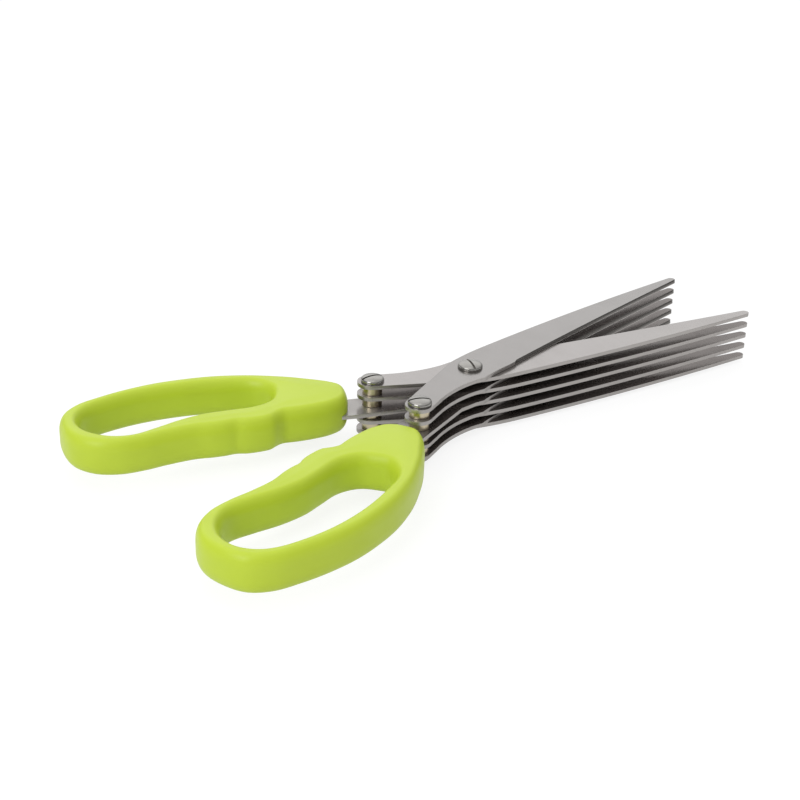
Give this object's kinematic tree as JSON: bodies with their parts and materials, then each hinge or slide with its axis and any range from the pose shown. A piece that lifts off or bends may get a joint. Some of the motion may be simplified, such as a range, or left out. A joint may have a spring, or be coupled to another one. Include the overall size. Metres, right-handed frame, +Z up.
{
  "type": "herb scissors",
  "caption": "Herb scissors with stacked parallel blades on one pivot and two closed loop handles.",
  "frame": {"origin": "on the pivot's axis, at the underside of the pivot's nut, the lowest flat face", "axes": "+Z up along the pivot's axis, +X from the pivot to the blade tips midway between the halves, -Y towards the handle of half A"},
  "size_m": [0.1895, 0.0892, 0.0176],
  "materials": {
    "handle_plastic": "satin moulded",
    "blade_steel": "fine ground",
    "screw_steel": "polished",
    "spacer_nickel": "nickel plated"
  },
  "bodies": {
    "half_a": {"handle_a": "handle_plastic", "blade_a1": "blade_steel", "blade_a2": "blade_steel", "blade_a3": "blade_steel", "blade_a4": "blade_steel", "blade_a5": "blade_steel", "post_spacer_a1": "spacer_nickel", "post_spacer_a2": "spacer_nickel", "post_spacer_a3": "spacer_nickel", "post_spacer_a4": "spacer_nickel", "post_screw_a": "screw_steel", "post_nut_a": "screw_steel", "pivot_screw": "screw_steel", "pivot_nut": "screw_steel", "pivot_washer_1": "spacer_nickel", "pivot_washer_2": "spacer_nickel", "pivot_washer_3": "spacer_nickel", "pivot_washer_4": "spacer_nickel"},
    "half_b": {"handle_b": "handle_plastic", "blade_b1": "blade_steel", "blade_b2": "blade_steel", "blade_b3": "blade_steel", "blade_b4": "blade_steel", "blade_b5": "blade_steel", "post_spacer_b1": "spacer_nickel", "post_spacer_b2": "spacer_nickel", "post_spacer_b3": "spacer_nickel", "post_spacer_b4": "spacer_nickel", "post_screw_b": "screw_steel", "post_nut_b": "screw_steel"}
  },
  "joints": [
    {"name": "pivot_hinge", "type": "hinge", "parent": "half_a", "child": "half_b", "pos_m": [0, 0, 0], "axis": [0, 0, -1], "range_deg": [-17, 120]}
  ]
}
